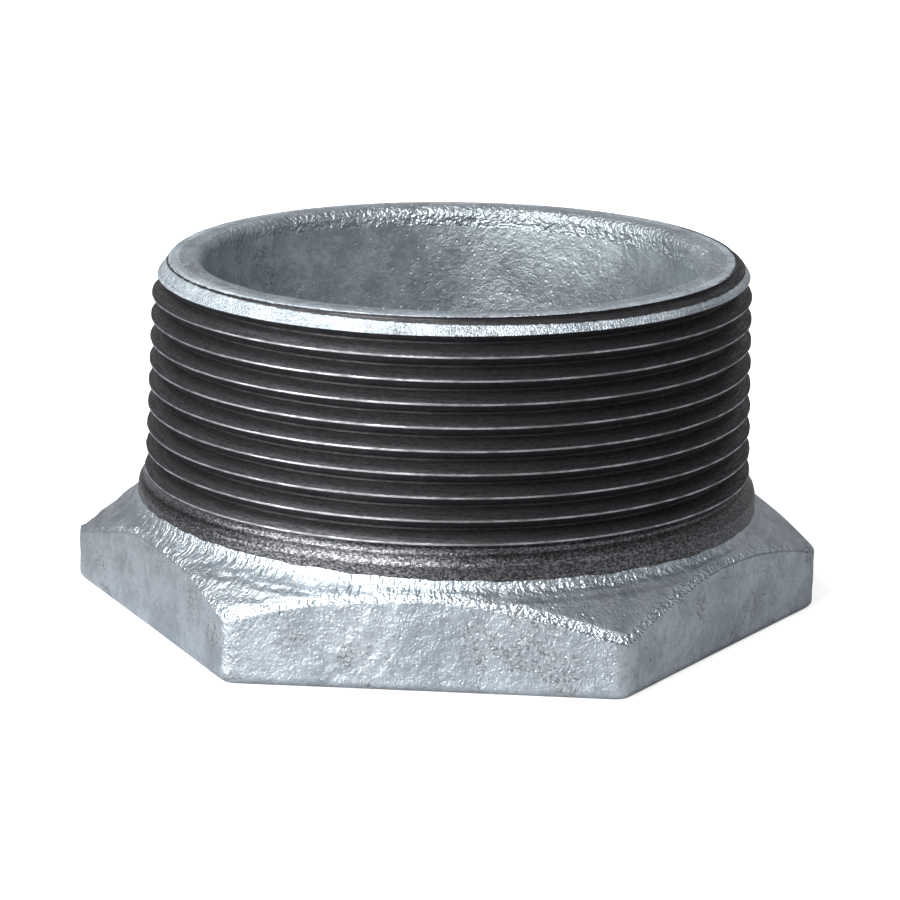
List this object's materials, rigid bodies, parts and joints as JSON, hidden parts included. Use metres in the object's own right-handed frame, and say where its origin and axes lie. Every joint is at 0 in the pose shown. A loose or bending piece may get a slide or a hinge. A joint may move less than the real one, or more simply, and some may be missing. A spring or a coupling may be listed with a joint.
{
  "type": "hexagon reducing bush",
  "caption": "Galvanised iron hexagon reducing bush: external taper pipe thread over a cored sleeve, internal taper pipe thread in a hexagon head.",
  "frame": {"origin": "centre of the hexagon's flat end face, on the common axis of both threads", "axes": "+Z along the thread axis from the hexagon to the male end; +X through one corner of the hexagon"},
  "size_m": [0.0746, 0.065, 0.035],
  "materials": {
    "zinc_coat": "hot-dip galvanised as-cast skin",
    "cut_iron": "bare machined thread, oiled"
  },
  "bodies": {
    "root": {"hex_head": "zinc_coat", "runout_collar": "cut_iron", "male_thread": "cut_iron", "nose_rim": "zinc_coat", "shank_tube": "zinc_coat", "female_thread": "cut_iron"}
  },
  "joints": []
}
